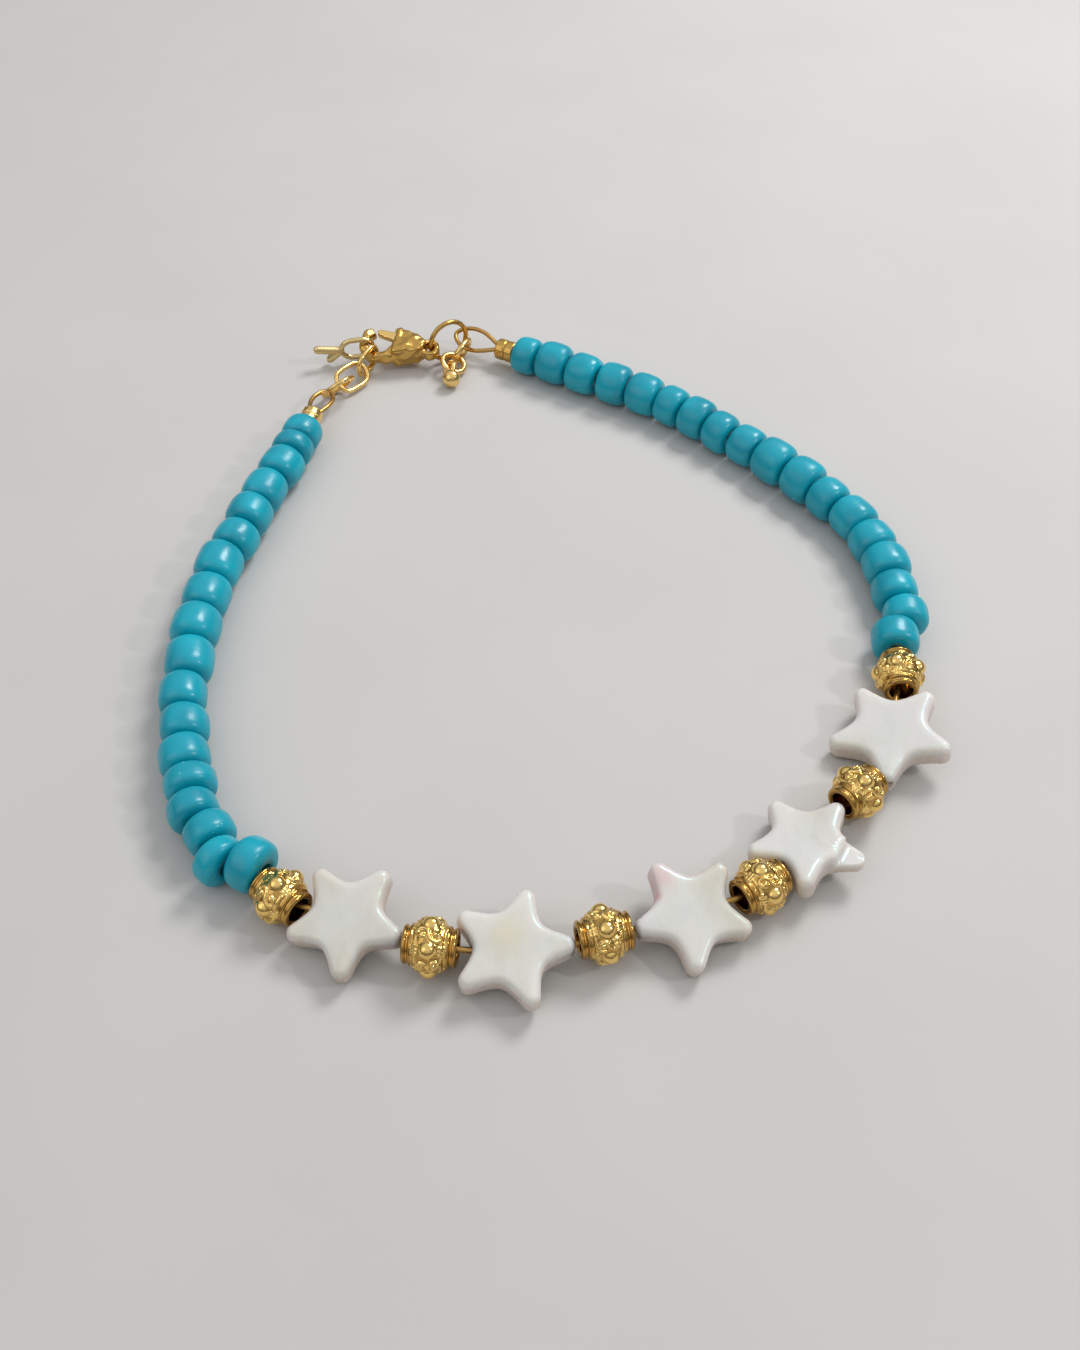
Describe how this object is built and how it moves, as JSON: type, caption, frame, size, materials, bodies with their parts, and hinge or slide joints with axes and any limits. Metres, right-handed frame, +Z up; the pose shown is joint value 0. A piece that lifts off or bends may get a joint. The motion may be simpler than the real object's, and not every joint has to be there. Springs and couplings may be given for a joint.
{
  "type": "beaded anklet",
  "caption": "Loop of turquoise barrel beads with granulated gold beads and flat shell stars at the front, closed by a lobster clasp and extender links.",
  "frame": {"origin": "middle of the footprint, on the surface that the anklet lies on", "axes": "+Z up from the surface; +X from the left strand to the right strand; +Y from the stars towards the clasp"},
  "size_m": [0.0694, 0.0852, 0.0051],
  "materials": {
    "turquoise_glass": "gloss",
    "bead_gold": "gloss",
    "mother_of_pearl": "satin",
    "clasp_gold": "satin"
  },
  "bodies": {
    "anklet": {"turquoise_left_01": "turquoise_glass", "turquoise_left_02": "turquoise_glass", "turquoise_left_03": "turquoise_glass", "turquoise_left_04": "turquoise_glass", "turquoise_left_05": "turquoise_glass", "turquoise_left_06": "turquoise_glass", "turquoise_left_07": "turquoise_glass", "turquoise_left_08": "turquoise_glass", "turquoise_left_09": "turquoise_glass", "turquoise_left_10": "turquoise_glass", "turquoise_left_11": "turquoise_glass", "turquoise_left_12": "turquoise_glass", "turquoise_left_13": "turquoise_glass", "turquoise_left_14": "turquoise_glass", "turquoise_left_15": "turquoise_glass", "turquoise_left_16": "turquoise_glass", "turquoise_left_17": "turquoise_glass", "turquoise_left_18": "turquoise_glass", "turquoise_right_01": "turquoise_glass", "turquoise_right_02": "turquoise_glass", "turquoise_right_03": "turquoise_glass", "turquoise_right_04": "turquoise_glass", "turquoise_right_05": "turquoise_glass", "turquoise_right_06": "turquoise_glass", "turquoise_right_07": "turquoise_glass", "turquoise_right_08": "turquoise_glass", "turquoise_right_09": "turquoise_glass", "turquoise_right_10": "turquoise_glass", "turquoise_right_11": "turquoise_glass", "turquoise_right_12": "turquoise_glass", "turquoise_right_13": "turquoise_glass", "turquoise_right_14": "turquoise_glass", "turquoise_right_15": "turquoise_glass", "turquoise_right_16": "turquoise_glass", "turquoise_right_17": "turquoise_glass", "turquoise_right_18": "turquoise_glass", "gold_bead_1": "bead_gold", "gold_bead_2": "bead_gold", "gold_bead_3": "bead_gold", "gold_bead_4": "bead_gold", "gold_bead_5": "bead_gold", "gold_bead_6": "bead_gold", "star_bead_1": "mother_of_pearl", "star_bead_2": "mother_of_pearl", "star_bead_3": "mother_of_pearl", "star_bead_4": "mother_of_pearl", "star_bead_5": "mother_of_pearl", "stringing_wire": "clasp_gold", "clasp_body": "clasp_gold", "crimp_left": "bead_gold", "crimp_right": "bead_gold", "ring_left": "bead_gold", "extender_link_1": "bead_gold", "extender_link_2": "bead_gold", "clasp_charm": "bead_gold", "jump_ring": "bead_gold", "extender_link_3": "bead_gold", "extender_link_4": "bead_gold", "end_ball": "bead_gold"},
    "lever": {"clasp_lever": "bead_gold"}
  },
  "joints": [
    {"name": "clasp_lever_hinge", "type": "hinge", "parent": "anklet", "child": "lever", "pos_m": [-0.01568, 0.03978, 0.00237], "axis": [-0.0361, -0.2048, 0.9781], "range_deg": [0, 18], "stiffness_Nm_per_rad": 0.002, "springref_deg": -17.19}
  ]
}
